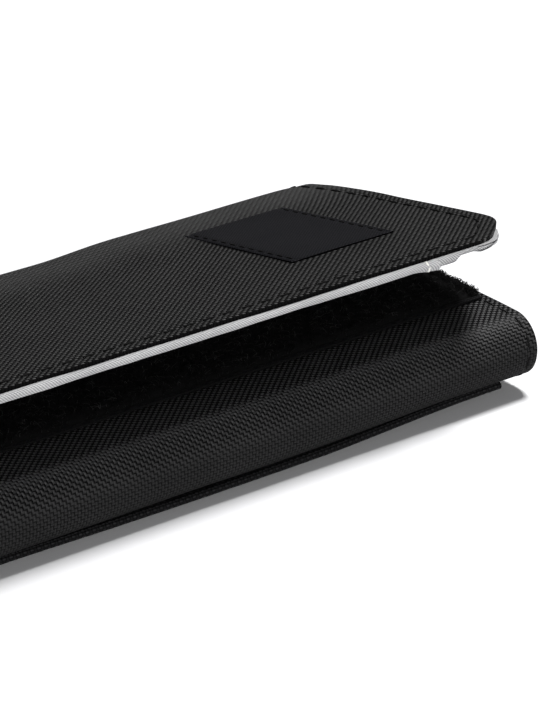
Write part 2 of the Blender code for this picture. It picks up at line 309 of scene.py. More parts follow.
def plain_weave(name, pitch, gap_shade, yarn, relief, painted_tone):
    """Plain weave: each yarn goes over one and under one. The gaps between the yarns are painted shade.
    The painted tone of a spot, from its run along the cloth, is how much brighter the yarns along
    the cloth are painted than those across it (a painted sheen), how deep the painted gaps look,
    a painted brightness for the whole, and how far painted light on one side of each yarn stands out."""
    material, inputs, feed = new_finish(name, 0.7, Specular_IOR_Level=0.03)
    along_pitch = pitch * 0.9
    across, along = cut_map(feed, pitch, along_pitch)
    wave_x = feed.math("SINE", across * math.pi)
    wave_y = feed.math("SINE", along * math.pi)
    sign_x = feed.math("SIGN", wave_x)
    sign_y = feed.math("SIGN", wave_y)
    height = feed.math("MAXIMUM", abs(wave_x) + sign_x * wave_y, abs(wave_y) - sign_y * wave_x)
    under = (sign_y * wave_x).ease(-0.45, 0.3)
    lean, depth, painted_brightness, lit = painted_tone(along * along_pitch)
    # Painted sheen: the yarns across the cloth are painted darker than those along it, by the lean.
    crest = abs(wave_y) * (1 - under) + abs(wave_x) * under * ((1 - lean) / (1 + lean))
    slope_x = sign_x * feed.math("COSINE", across * math.pi)
    slope_y = sign_y * feed.math("COSINE", along * math.pi)
    # Painted light: each yarn is painted lighter on one side and darker on the other, as if lit from one
    # side.
    side = feed.math("MAXIMUM", 0.0, 0.4 - 0.6 * (slope_y * (1 - under) - slope_x * under))
    share = feed.math("POWER", crest, depth) * (1 - lit) + side * lit
    share = share * painted_brightness * (0.8 + 0.4 * mottle(feed, 90))
    paint(feed, inputs, share, gap_shade, yarn)
    emboss(feed, inputs, height * 0.5, relief)
    return material


def steady(lean, depth=1.2):
    """The same painted tone all over a cloth: a fixed painted sheen and gap depth, with no painted lit
    sides.
    """
    return lambda run: (lean, depth, 1.0, 0.0)


def twill(name, pitch, groove, rib, relief, crease_shaded=False):
    """Twill: fine slanting ribs, with the yarns showing across them, and painted shade in any creases."""
    material, inputs, feed = new_finish(name, 0.6, Specular_IOR_Level=0.25)
    across, along = cut_map(feed, pitch, pitch)
    ribs = abs(feed.math("SINE", (across + along) * math.pi))
    yarns = abs(feed.math("SINE", across * (2 * math.pi)))
    height = 0.8 * ribs + 0.2 * yarns
    share = height * (0.7 + 0.6 * mottle(feed, 120))
    if crease_shaded:
        # Painted shade: the colour is darkened towards the groove colour by the crease depth kept on the
        # mesh.
        share = share * (1 - feed.node("ShaderNodeAttribute", {"attribute_name": "crease_shade"}, {}))
    paint(feed, inputs, share, groove, rib)
    emboss(feed, inputs, height, relief)
    return material


def grained(name, roughness, grain, dark, light, relief=None, **fixed):
    """A material with one fine cloudy grain, in its colour and where there is relief in its surface."""
    material, inputs, feed = new_finish(name, roughness, **fixed)
    cloud = mottle(feed, *grain)
    paint(feed, inputs, cloud, dark, light)
    if relief:
        emboss(feed, inputs, cloud, relief)
    return material


WEAVE_PITCH = 0.000742
# Painted shade: the near-black colour painted into the gaps between the yarns.
VALLEY_SHADE = grey(0.0015, 0.0016)
COVER_YARN = (0.080, 0.0795, 0.079)
COVER_RELIEF = 0.0005
METAL_DARK = (0.30, 0.31, 0.33)
METAL_LIGHT = (0.50, 0.51, 0.53)
cover_weave = plain_weave("cover_weave", WEAVE_PITCH, VALLEY_SHADE, COVER_YARN, COVER_RELIEF, steady(0.9, 1.0))
lining_twill = twill("lining_twill", 0.00028, grey(0.40, 0.43), grey(0.62, 0.65), 0.00005)
shield_metal = grained("shield_metal", 0.42, (260, 6.0), METAL_DARK, METAL_LIGHT, 0.0002, Metallic=0.6)
board_plastic = grained("board_plastic", 0.6, (900, 3.0), grey(0.06), grey(0.12), 0.00006)


def fit(piece, finish, slot, body=None, *nodes):
    """Dress a piece, fix it to the body that it rides on, and let it stand for its CAD nodes."""
    piece.data.materials.clear()
    piece.data.materials.append(finish)
    if body:
        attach(piece, body)
    if nodes:
        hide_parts(*nodes)


def cover_sink(x, run):
    return seam_dip(end_gap(x)) + ripple(x, run, 0.018, 0.00010)


def flat_sink(x, run):
    return ripple(x, run, 0.022, 0.00006)


lie_back = laid((REAR.y, back_low.z), FORWARD, [(BACK_SPAN, None)], cover_sink)
back_rows = even(0, BACK_SPAN, MEDIUM)
back_cover = lay_cloth("back_cover_cloth", spread(-HALF, HALF, COARSE), back_rows, lie_back)
thicken_cover(back_cover, HEM_W)
fit(back_cover, cover_weave, "cover_fabric", "back_panel", "back_cover")

LINING_T = 0.0005
LINING_RIM = 0.00018
lining_low, lining_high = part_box("back_lining")
LINING_HALF = lining_high.x
lining_columns = spread(-LINING_HALF, LINING_HALF, COARSE)
lie_back_lining = laid((FRONT.y, lining_high.z), 0.0, [(BACK_SPAN, None)], flat_sink)
back_lining = lay_cloth("back_lining_cloth", lining_columns, back_rows, lie_back_lining)
thicken(back_lining, LINING_T, LINING_RIM)
fit(back_lining, lining_twill, "lining_twill", "back_panel", "back_lining")


def lay_flat(name, node, up, thick, gap=COARSE):
    """A flat layer in the place of its CAD node, with the laid face up or down."""
    low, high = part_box(node)
    depth = high.y - low.y
    start, heading = ((low.y, high.z), 0.0) if up else ((high.y, low.z), FORWARD)
    lie = laid(start, heading, [(depth, None)], flat_sink)
    layer = lay_cloth(name, even(low.x, high.x, gap), even(0, depth, gap), lie)
    thicken(layer, thick, thick * 0.3)
    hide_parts(node)
    return layer


SHIELD_T = 0.0003
back_shield = lay_flat("back_shield_layer", "back_shield", True, SHIELD_T)
fit(back_shield, shield_metal, "shield_fabric", "back_panel")

for node in ("back_board", "inner_board", "flap_board"):
    fit(frame["nodes"][node], board_plastic, "stiffener")


# Card slots
# Two pockets of lining cloth on the back lining, stepped so that the card edges show. Each is
# hemmed along its mouth and sewn down along both long sides.

LINING_PITCH = 0.0030
LINING_THREAD = 0.0003
SEAM_END = 0.001


def stitch_model(length, thick):
    """One stitch: a short round thread, flattened where it lies on the cloth."""
    ball = {"segments": 7, "ring_count": 6, "radius": 0.5, "rotation": (0, math.pi / 2, 0)}
    stitch = added(bpy.ops.mesh.primitive_uv_sphere_add, "stitch", **ball)
    stitch.scale = (length, thick, thick * 0.8)
    bpy.ops.object.transform_apply(location=True, rotation=True, scale=True)
    return stitch


def repeat(name, model, places):
    """One piece made of copies of a small model, each at its own place."""
    spots = np.array([v.co for v in model.data.vertices])
    faces = [tuple(face.vertices) for face in model.data.polygons]
    turns = np.array([np.array(place) for place in places])
    copies = np.einsum("nij,vj->nvi", turns[:, :3, :3], spots) + turns[:, None, :3, 3]
    count = len(spots)
    corners = [tuple(v + index * count for v in face) for index in range(len(places)) for face in faces]
    mesh = bpy.data.meshes.new(name)
    mesh.from_pydata(copies.reshape(-1, 3).tolist(), [], corners)
    mesh.shade_smooth()
    piece = bpy.data.objects.new(name, mesh)
    bpy.context.collection.objects.link(piece)
    bpy.data.objects.remove(model)
    return piece


def sew(name, lie, seams, pitch=LINING_PITCH, thick=LINING_THREAD, share=0.72):
    """A row of stitches along each seam, which is a line of spots on the flat cut of a cloth."""
    places = []
    probe = 0.0002
    for seam in seams:
        spots = [Vector(spot) for spot in seam]
        lengths = [(b - a).length for a, b in zip(spots, spots[1:])]
        total = sum(lengths)
        count = max(1, int(total / pitch))
        for index in range(count):
            run = (index + 0.5) * total / count
            leg = 0
            while leg < len(lengths) - 1 and run > lengths[leg]:
                run -= lengths[leg]
                leg += 1
            way = (spots[leg + 1] - spots[leg]).normalized()
            at = spots[leg] + way * run
            tangent = (lie(*(at + way * probe)) - lie(*(at - way * probe))).normalized()
            side_x = lie(at.x + probe, at.y) - lie(at.x - probe, at.y)
            side_y = lie(at.x, at.y + probe) - lie(at.x, at.y - probe)
            normal = side_x.cross(side_y).normalized()
            turn = Matrix((tangent, normal.cross(tangent), normal)).transposed().to_4x4()
            places.append(Matrix.Translation(lie(*at) + normal * thick * 0.18) @ turn)
    return repeat(name, stitch_model(pitch * share, thick), places)


def seams_along(low, high, *runs):
    """Straight seams along X, which stop a little short of both ends."""
    return [[(low + SEAM_END, run), (high - SEAM_END, run)] for run in runs]


def thread_finish(name, dark, light):
    """Twisted sewing thread, a little glossy."""
    material, inputs, feed = new_finish(name, 0.8, Specular_IOR_Level=0.1)
    paint(feed, inputs, mottle(feed, 2500), dark, light)
    emboss(feed, inputs, mottle(feed, 5000), 0.00006)
    return material


black_thread = thread_finish("black_thread", grey(0.002), grey(0.007))
grey_thread = thread_finish("grey_thread", grey(0.30, 0.32), grey(0.52, 0.55))

SLOT_HEM_W = 0.003
SLOT_HEM_T = 0.0006
SLOT_SEAM = 0.0016
MOUTH_REACH = 0.03
MOUTH_LIFT = 0.0005
THIN_T = 0.0004
THIN_RIM = 0.00012
for number in (1, 2):
    low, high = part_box(f"card_slot_{number}")
    depth = high.y - low.y
    mouth = high.x

    def gape(x, run):
        """The mouth of the slot bows up a little between its sewn sides."""
        lift = max(0.0, 1 - (mouth - x) / MOUTH_REACH) * math.sin(math.pi * run / depth)
        return flat_sink(x, run) - MOUTH_LIFT * lift * lift

    lie_slot = laid((low.y, high.z), 0.0, [(depth, None)], gape)
    slot_columns = spread(low.x, mouth, COARSE)
    slot = lay_cloth(f"card_slot_{number}_cloth", slot_columns, even(0, depth, 0.0025), lie_slot)
    thicken(slot, THIN_T, THIN_RIM, lambda place: mouth - place.x < SLOT_HEM_W, SLOT_HEM_T)
    fit(slot, lining_twill, "lining_twill", "back_panel", f"card_slot_{number}")
    slot_seams = seams_along(low.x, mouth, SLOT_SEAM, depth - SLOT_SEAM)
    hem_x = mouth - SLOT_HEM_W * 0.8
    slot_seams.append([(hem_x, SEAM_END), (hem_x, depth - SEAM_END)])
    slot_stitches = sew(f"card_slot_{number}_stitches", lie_slot, slot_seams)
    fit(slot_stitches, grey_thread, "lining_twill", "back_panel")


# Inner panel and front fold
# The black cover goes on round the front fold and over the inner panel, with its ends hemmed by
# a row of long stitches. Grey lining follows it inside, and a folded tape binds the free edge.

inner_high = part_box("inner_cover")[1]
INNER_DEPTH = inner_high.y - FRONT.y
FRONT_ARC = math.pi * FRONT_R
FRONT_RUN = FRONT_ARC + INNER_DEPTH
FRONT_LEGS = [(FRONT_ARC, FRONT_R), (INNER_DEPTH, None)]
FRONT_SEAM = 0.0022
FOLD_SAG = 0.0009
STITCH_PITCH = 0.0044
COVER_THREAD = 0.0004
AIR = 0.0001


def ease(value, start, end):
    """0 before the start, 1 after the end, and smooth between."""
    share = min(1.0, max(0.0, (value - start) / (end - start)))
    return share * share * (3 - 2 * share)


def front_sink(x, run):
    """Rim and seam, and a fold that sags on to the pocket's hem, less so near the right end."""
    edge = end_gap(x) + END_SEAM - FRONT_SEAM
    low = ease(run, 0, 0.0025) * ease(run, 0.0105, 0.0045)
    sag = FOLD_SAG * low * (1 - 0.8 * ease(x, 0.015, 0.060))
    return seam_dip(edge) + ripple(x, run, 0.016, 0.00016) - sag


def fold_painted_light(run):
    """Painted light along the front fold. From the front both sets of yarns are painted alike and smooth.
    Over the nose of the fold the lit sides of the yarns are painted in zigzags, the whole is painted
    brighter up to the top of the fold and darker again further in, and towards the flat of the panel
    a painted sheen on the yarns along it takes over."""
    over = run.ease(0.0090, 0.0140)
    rise = run.ease(0.0138, 0.0165)
    flat = run.ease(0.0160, 0.0205)
    past = run.ease(0.0240, 0.0300)
    painted_brightness = 0.36 + 0.22 * over + 0.42 * rise + 1.3 * flat - 1.3 * past
    return 0.9 * flat, 1.9 - 0.6 * over, painted_brightness, 0.4 + 0.6 * over * (1 - flat) - 0.4 * flat


# Painted light: the fold's cover is the cover weave with painted light that changes along its run.
FOLD_YARN = (0.082, 0.0815, 0.082)
fold_weave = plain_weave("fold_weave", WEAVE_PITCH, VALLEY_SHADE, FOLD_YARN, 0.0003, fold_painted_light)
lie_front = laid((FRONT.y, back_low.z), FORWARD, FRONT_LEGS, front_sink)
front_rows = even(0, FRONT_ARC, 0.0006) + even(FRONT_ARC, FRONT_RUN, MEDIUM)[1:]
front_cover = lay_cloth("front_cover_cloth", spread(-HALF, HALF, MEDIUM), front_rows, lie_front)
thicken_cover(front_cover, HEM_W)
fit(front_cover, fold_weave, "cover_fabric", None, "front_fold", "inner_cover")


def bend(piece, body, axis, low, high):
    """Bake a cloth's place into its mesh. The body, fold axis and two heights that it is given are not used.
    """
    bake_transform(piece)


FRONT_BEND = ("inner_panel", FRONT, back_low.z + HEM_T + AIR, inner_high.z - HEM_T - AIR)
bend(front_cover, *FRONT_BEND)
front_edge = HALF - FRONT_SEAM
front_ends = [[(x, SEAM_END), (x, FRONT_RUN - 0.004)] for x in (front_edge, -front_edge)]
front_stitches = sew("front_cover_stitches", lie_front, front_ends, STITCH_PITCH, COVER_THREAD)
fit(front_stitches, black_thread, "cover_fabric")
bend(front_stitches, *FRONT_BEND)

inner_lining_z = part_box("inner_lining")[0].z
LINING_FRONT_R = inner_lining_z - FRONT.z
inner_legs = [(INNER_DEPTH, None), (math.pi * LINING_FRONT_R, -LINING_FRONT_R)]
lie_inner_lining = laid((inner_high.y, inner_lining_z), FORWARD, inner_legs, flat_sink)
inner_rows = even(0, INNER_DEPTH, MEDIUM) + even(INNER_DEPTH, INNER_DEPTH + inner_legs[1][0], 0.0004)[1:]
inner_lining = lay_cloth("inner_lining_cloth", lining_columns, inner_rows, lie_inner_lining)
thicken(inner_lining, LINING_T, LINING_RIM)
fit(inner_lining, lining_twill, "lining_twill", None, "inner_lining", "front_fold_lining")
bend(inner_lining, "inner_panel", FRONT, lining_high.z + AIR, inner_lining_z - AIR)

inner_shield = lay_flat("inner_shield_layer", "inner_shield", False, SHIELD_T)
fit(inner_shield, shield_metal, "shield_fabric", "inner_panel")


def length_of(legs):
    return sum(length for length, radius in legs)


BINDING_T = 0.0004
BINDING_RIM = 0.0001
BINDING_TURN = 0.0011
binding_low, binding_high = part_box("inner_edge_tape")
binding_side = (binding_high.y - binding_low.y - BINDING_TURN, None)
binding_edge = (binding_high.z - binding_low.z - 2 * BINDING_TURN, None)
binding_corner = (math.pi / 2 * BINDING_TURN, BINDING_TURN)
binding_legs = [binding_side, binding_corner, binding_edge, binding_corner, binding_side]
binding_run = length_of(binding_legs)
binding_rows = even(0, binding_run, 0.0002)
lie_binding = laid((binding_low.y, binding_high.z), 0.0, binding_legs, flat_sink)
binding = lay_cloth("inner_edge_binding", even(-LINING_HALF, LINING_HALF, MEDIUM), binding_rows, lie_binding)
thicken(binding, BINDING_T, BINDING_RIM)
fit(binding, lining_twill, "lining_twill", "inner_panel", "inner_edge_tape")
binding_seam = binding_side[0] - 0.0025
binding_seams = seams_along(-LINING_HALF, LINING_HALF, binding_seam, binding_run - binding_seam)
fit(sew("inner_edge_stitches", lie_binding, binding_seams), grey_thread, "lining_twill", "inner_panel")


# Loop strip
# The soft half of the closure: a woven tape with a dense fuzzy pile of fine nylon loops, sewn
# flat on the inner panel along both of its long edges.

loop_low, loop_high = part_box("loop_strip")
FINE = 0.002
LOOP_TAPE_T = 0.0005
LOOP_SEAM = 0.0006
SELVEDGE = 0.0011
loop_deep = loop_high.y - loop_low.y
tape_weave = plain_weave("tape_weave", 0.00040, grey(0.002), grey(0.014, 0.015), 0.00008, steady(0.3))
lie_loop = laid((loop_low.y, loop_low.z + LOOP_TAPE_T), 0.0, [(loop_deep, None)], flat_sink)
loop_columns = even(loop_low.x, loop_high.x, COARSE)
loop_tape = lay_cloth("loop_tape", loop_columns, even(0, loop_deep, FINE), lie_loop)
thicken(loop_tape, LOOP_TAPE_T, THIN_RIM)
fit(loop_tape, tape_weave, "loop_pile", "inner_panel", "loop_strip")


@contextmanager
def editing(action="SELECT"):
    """Edit the active piece's mesh, with all of it selected first, or none."""
    bpy.ops.object.mode_set(mode="EDIT")
    bpy.ops.mesh.select_all(action=action)
    yield
    bpy.ops.object.mode_set(mode="OBJECT")


def bent_stem(width, steps):
    """A thin three-sided stem, drawn up from its foot in short straight steps."""
    foot = {"vertices": 3, "radius": width / 2, "fill_type": "NGON"}
    stem = added(bpy.ops.mesh.primitive_circle_add, "stem", **foot)
    with editing():
        for step in steps:
            bpy.ops.mesh.extrude_region_move(TRANSFORM_OT_translate={"value": step})
    return stem


def pile_finish(name, dark, light):
    """Fine nylon fibres, matt, with a faint bloom where they stand against the light."""
    return grained(name, 0.8, (1800, 4.0), dark, light, Sheen_Weight=0.015, Specular_IOR_Level=0.05)


PILE_T = 0.0008
PILE_STEP = 0.0006
loop_fibres = pile_finish("loop_fibres", grey(0.0005), grey(0.005))


def tuft_height(x, run):
    """Height of the pile over its tape: tufted, and rounded down at the selvedges."""
    edge = min(run - SELVEDGE, loop_deep - SELVEDGE - run, loop_high.x - abs(x))
    tufts = noise.noise(Vector((x, run, 0)) * 900) + 0.6 * noise.noise(Vector((x, run, 1)) * 2200)
    return PILE_T * (1 + 0.3 * tufts) * min(1.0, max(0.0, edge / 0.0008) ** 0.5)


def in_pile(x, run, share=1.0):
    """Spot at a share of the pile's height over the tape."""
    return lie_loop(x, run) + Vector((0, 0, share * tuft_height(x, run)))


mat_columns = even(loop_low.x, loop_high.x, PILE_STEP)
mat_rows = even(SELVEDGE, loop_deep - SELVEDGE, PILE_STEP)
pile_mat = lay_cloth("loop_pile_mat", mat_columns, mat_rows, in_pile)
finish_with(pile_mat, "SOLIDIFY", thickness=0.0003, offset=-1)
smooth(pile_mat, 80)
fit(pile_mat, loop_fibres, "loop_pile", "inner_panel")

FIBRE_COUNT = 7000
END_FIBRES = 3400
END_BAND = 0.0022
FIBRE_W = 0.00011
FIBRE_FOOT = 0.7
STRAND_COUNT = 1200
STRAND_W = FIBRE_W * 0.8
STRAND_INSET = 0.001
chance = random.Random(7)


def any_turn():
    return Matrix.Rotation(chance.uniform(0, 2 * math.pi), 4, "Z")


def any_size(least, most):
    return Matrix.Scale(chance.uniform(least, most), 4)


fibre_steps = [(0.00012, 0.0, 0.00040), (0.00034, 0.00012, 0.00014)]
fibre_places = []
for index in range(FIBRE_COUNT + END_FIBRES):
    x = chance.uniform(loop_low.x, loop_high.x)
    if index >= FIBRE_COUNT:
        x = math.copysign(loop_high.x - END_BAND * chance.random(), x)
    run = chance.uniform(SELVEDGE, loop_deep - SELVEDGE)
    lean = any_turn() @ Matrix.Rotation(chance.gauss(0, 0.4), 4, "X") @ any_size(0.7, 1.7)
    fibre_places.append(Matrix.Translation(in_pile(x, run, FIBRE_FOOT)) @ lean)
loop_pile = repeat("loop_pile_fibres", bent_stem(FIBRE_W, fibre_steps), fibre_places)
fit(loop_pile, loop_fibres, "loop_pile", "inner_panel")

loose_strands = pile_finish("loose_strands", grey(0.010), grey(0.090, 0.088))
strand_steps = [(0.0004, 0.0, 0.00035), (0.0006, 0.0002, 0.00012), (0.0005, 0.0004, -0.00012)]
strand_places = []
for index in range(STRAND_COUNT):
    x = chance.uniform(loop_low.x + STRAND_INSET, loop_high.x - STRAND_INSET)
    run = chance.uniform(2 * SELVEDGE, loop_deep - 2 * SELVEDGE)
    strand_places.append(Matrix.Translation(in_pile(x, run)) @ any_turn() @ any_size(0.5, 1.1))
loop_strands = repeat("loop_pile_strands", bent_stem(STRAND_W, strand_steps), strand_places)
fit(loop_strands, loose_strands, "loop_pile", "inner_panel")
loop_seams = seams_along(loop_low.x, loop_high.x, LOOP_SEAM, loop_deep - LOOP_SEAM)
fit(sew("loop_tape_stitches", lie_loop, loop_seams), black_thread, "loop_pile", "inner_panel")


# Card window
# A clear film on the lining side of the inner panel, held by a frame of lining cloth that is
# sewn down round its outside.

FILM_T = 0.00025
window = lay_flat("card_window_film", "id_window", False, FILM_T)


def clear_film(name):
    """Soft clear vinyl, faintly clouded by handling."""
    material, inputs, feed = new_finish(name, 0.1, Base_Color=(0.85, 0.87, 0.88, 1), IOR=1.5)
    cloud = mottle(feed, 70, 3.0)
    (0.16 + 0.12 * cloud).into(inputs["Alpha"])
    (0.06 + 0.16 * cloud).into(inputs["Roughness"])
    return material


fit(window, clear_film("window_vinyl"), "window_vinyl", "inner_panel")


def flat_plate(name, low, high, z):
    """A flat oblong over a box, at one height."""
    middle = (low + high) / 2
    scale = (high.x - low.x, high.y - low.y, 1)
    return added(bpy.ops.mesh.primitive_plane_add, name, scale, size=1, location=(middle.x, middle.y, z))


FRAME_RAIL = 0.005
frame_low, frame_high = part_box("id_frame")
window_frame = flat_plate("card_window_frame", frame_low, frame_high, frame_low.z)
with editing():
    bpy.ops.mesh.flip_normals()
    bpy.ops.mesh.inset(thickness=FRAME_RAIL)
    bpy.ops.mesh.delete(type="FACE")
    bpy.ops.mesh.select_all(action="SELECT")
    bpy.ops.mesh.subdivide(number_cuts=5)
window_frame.data.uv_layers.active.name = "cut"
for loop, spot in zip(window_frame.data.loops, window_frame.data.uv_layers["cut"].uv):
    spot.vector = window_frame.data.vertices[loop.vertex_index].co[:2]
thicken(window_frame, THIN_T, THIN_RIM)
fit(window_frame, lining_twill, "lining_twill", "inner_panel", "id_frame")
frame_deep = frame_high.y - frame_low.y
lie_frame = laid((frame_high.y, frame_low.z), FORWARD, [(frame_deep, None)], lambda x, run: 0.0)
rear_seam, front_seam = seams_along(frame_low.x, frame_high.x, SEAM_END, frame_deep - SEAM_END)
frame_ring = rear_seam + front_seam[::-1] + rear_seam[:1]
fit(sew("card_window_stitches", lie_frame, [frame_ring]), grey_thread, "lining_twill", "inner_panel")


# Flap and rear fold
# The outer cover comes round the rear fold and ends in a flap with clipped and rounded corners. It
# is hemmed all round by one row of long stitches, and grey lining covers its inside.

FLAP_TILT = math.radians(10.7)
FLAP_DEPTH = 0.0664
FLAP_HALF = HALF - 0.0007
FLAP_HEM_W = 0.0046
REAR_ARC = (math.pi - FLAP_TILT) * REAR_R
REAR_CROWN = 0.0004
REAR_DRAW_IN = 0.0024
FAR_DROP = 0.0003
TRIM_REACH = 0.030
NEAR_TURN = 0.008
END_TURN = 0.0115
CLIP = 0.0104
EIGHTH = math.pi / 4
near_reach = NEAR_TURN * math.tan(EIGHTH / 2)
end_reach = END_TURN * math.tan(EIGHTH / 2)
near_straight = FLAP_HALF - CLIP - near_reach
OUTLINE = [
    (near_straight, None), (NEAR_TURN * EIGHTH, NEAR_TURN),
    (CLIP * math.sqrt(2) - near_reach - end_reach, None), (END_TURN * EIGHTH, END_TURN),
    (FLAP_DEPTH - CLIP - end_reach, None),
]


def along_outline(way, inset):
    """Spot at a way from the middle of the free edge round the right corner, moved inwards."""
    (x, back), (out_x, out_back) = follow((0.0, FLAP_DEPTH), 0.0, OUTLINE, way)
    return x - out_x * inset, back - out_back * inset


OUTLINE_RUN = length_of(OUTLINE)
corner_ways = even(near_straight - 0.001, OUTLINE_RUN - OUTLINE[-1][0], 0.0003)
outline_x, outline_back = np.array([along_outline(way, 0.0) for way in corner_ways]).T


def on_flap(back, out):
    """Y and Z of a spot at a distance from the rear axis along the flap, and out from it."""
    y = REAR.y - back * math.cos(FLAP_TILT) + out * math.sin(FLAP_TILT)
    return y, REAR.z + back * math.sin(FLAP_TILT) + out * math.cos(FLAP_TILT)


def corner_trim(x, inset):
    """How far the clipped corner cuts the free edge back at one place along it."""
    across, back = np.array([along_outline(way, inset) for way in corner_ways]).T
    return max(0.0, FLAP_DEPTH - inset - np.interp(abs(x), np.maximum.accumulate(across), back))


def outline_gap(x, run):
    """Distance of a spot from the flap's outline."""
    corner = np.hypot(outline_x - abs(x), outline_back - FLAP_DEPTH + run).min()
    return max(0.0, min(FLAP_HALF - abs(x), run, corner))


def flap_sink(x, run):
    """Rim and seam, a rear fold that sags in the middle, and far corners that round over."""
    crown = REAR_CROWN * ease(run, 0.035, 0.065) * (1.7 * ease(abs(x), 0.004, 0.024) - 0.7)
    corner = FAR_DROP * ease(abs(x), 0.067, 0.075) * ease(run, 0.060, 0.068)
    return seam_dip(outline_gap(x, run)) - crown + corner + ripple(x, run, 0.020, 0.00012)


FLAP_LEGS = [(FLAP_DEPTH, None), (REAR_ARC, REAR_R)]
FLAP_RUN = FLAP_DEPTH + REAR_ARC
lie_flap_flat = laid(on_flap(FLAP_DEPTH, REAR_R), -FLAP_TILT, FLAP_LEGS, flap_sink)


def draw_in(place, run):
    """The ends of the cloth draw in a little where they turn over the rear fold."""
    over = ease(run, 0.045, 0.070) * ease(run, FLAP_DEPTH + 0.9 * REAR_ARC, FLAP_DEPTH + 0.4 * REAR_ARC)
    place.x *= 1 - REAR_DRAW_IN / HALF * over
    return place


def lie_flap(x, run):
    return draw_in(lie_flap_flat(x, run), run)


def lay_clipped(name, columns, rows, lie, inset):
    """A flap sheet, squeezed towards its rear so that it ends on the clipped outline."""
    cuts = [corner_trim(x, inset) for x in columns]
    spots = []
    for run in rows:
        squeeze = max(0.0, 1 - run / TRIM_REACH)
        spots += [(x, run + cut * squeeze) for x, cut in zip(columns, cuts)]
    return lay_cloth(name, columns, rows, lie, spots)


def rows_round(depth, total, flat_gap, turn_gap):
    """Rows of a flap sheet: close together at its free edge, then along the flat and round the fold."""
    flat = even(EDGE_STEPS[-1], depth, flat_gap)
    return list(EDGE_STEPS) + flat[1:] + even(depth, total, turn_gap)[1:]


def flap_painted_light(run):
    """Painted light: towards the rear fold the cloth is painted brighter, as if turned to the light, with
    shallower painted gaps and less painted sheen on the yarns along it.
    """
    rear = run.ease(0.046, 0.064)
    return 0.9 - 0.5 * rear, 1.0 - 0.3 * rear, 1.0 + 0.08 * rear, 0.0


FLAP_GAP = 0.0024
flap_columns = spread(-FLAP_HALF, FLAP_HALF, FLAP_GAP)
flap_rows = rows_round(FLAP_DEPTH, FLAP_RUN, FLAP_GAP, 0.0009)
flap_cover = lay_clipped("flap_cover_cloth", flap_columns, flap_rows, lie_flap, 0.0)
thicken_cover(flap_cover, FLAP_HEM_W)
flap_weave = plain_weave("flap_weave", WEAVE_PITCH, VALLEY_SHADE, COVER_YARN, COVER_RELIEF, flap_painted_light)
fit(flap_cover, flap_weave, "cover_fabric", None, "flap_cover", "rear_fold")
REAR_BEND = ("flap", REAR, -0.001, REAR.z + (REAR_R - HEM_T) * math.cos(FLAP_TILT) - AIR)
bend(flap_cover, *REAR_BEND)

FLAP_THREAD = 0.00060
right_half = [along_outline(way, END_SEAM) for way in even(0.004, OUTLINE_RUN, FINE)]
right_half = [(x, FLAP_DEPTH - back) for x, back in right_half]
right_half.append((FLAP_HALF - END_SEAM, FLAP_RUN - 0.003))
flap_seam = [(-x, run) for x, run in reversed(right_half)] + right_half
flap_stitches = sew("flap_cover_stitches", lie_flap, [flap_seam], STITCH_PITCH, FLAP_THREAD, share=0.66)
fit(flap_stitches, black_thread, "cover_fabric")
bend(flap_stitches, *REAR_BEND)

LINING_INSET = 0.0015
LINING_RISE = 0.0016
FLAP_LINING_HALF = FLAP_HALF - LINING_INSET
FLAP_LINING_DEPTH = FLAP_DEPTH - LINING_INSET
LINING_REAR_R = REAR.z - lining_high.z
lining_arc = (math.pi - FLAP_TILT) * LINING_REAR_R
lining_run = lining_arc + FLAP_LINING_DEPTH
lining_legs = [(lining_arc, -LINING_REAR_R), (FLAP_LINING_DEPTH, None)]


def lining_sink(x, back):
    """Round the front of the flap the lining is drawn up to the cover it is sewn to."""
    run = lining_run - back + LINING_INSET
    front = ease(FLAP_DEPTH - run, 0.052, 0.058)
    return flat_sink(x, back) + LINING_RISE * front * ease(outline_gap(x, run), 0.0055, 0.0015)


lie_lining_back = laid((REAR.y, lining_high.z), 0.0, lining_legs, lining_sink)


def lie_flap_lining(x, run):
    """The lining is cut from its free edge back, and laid from the rear fold forwards."""
    return draw_in(lie_lining_back(-x, lining_run - run), run)


flap_columns = spread(-FLAP_LINING_HALF, FLAP_LINING_HALF, MEDIUM)
flap_rows = rows_round(FLAP_LINING_DEPTH, lining_run, MEDIUM, 0.0008)
flap_lining = lay_clipped("flap_lining_cloth", flap_columns, flap_rows, lie_flap_lining, LINING_INSET)
thicken(flap_lining, LINING_T, LINING_RIM)
fit(flap_lining, lining_twill, "lining_twill", None, "flap_lining", "rear_fold_lining")
lining_out = LINING_REAR_R * math.cos(FLAP_TILT)
bend(flap_lining, "flap", REAR, lining_low.z - 0.002, REAR.z + lining_out - AIR)

SHIELD_OUT = 0.0085
SHIELD_INSET = 0.005
SHIELD_RIM = 0.0001
shield_half = FLAP_HALF - SHIELD_INSET
shield_run = FLAP_DEPTH - SHIELD_INSET
lie_shield = laid(on_flap(shield_run, SHIELD_OUT), -FLAP_TILT, [(shield_run, None)], flat_sink)
shield_columns = spread(-shield_half, shield_half, COARSE)
shield_rows = even(0, shield_run - 0.0004, MEDIUM)
flap_shield = lay_clipped("flap_shield_layer", shield_columns, shield_rows, lie_shield, SHIELD_INSET)
thicken(flap_shield, SHIELD_T, SHIELD_RIM)
fit(flap_shield, shield_metal, "shield_fabric", "flap", "flap_shield")


# Rolled edge of the flap
# Along the free edge the grey lining is rolled into a thick lip that shows under the black
# cover. Each end of the lip is held by a bar tack, and a thinner roll goes on round the corner.

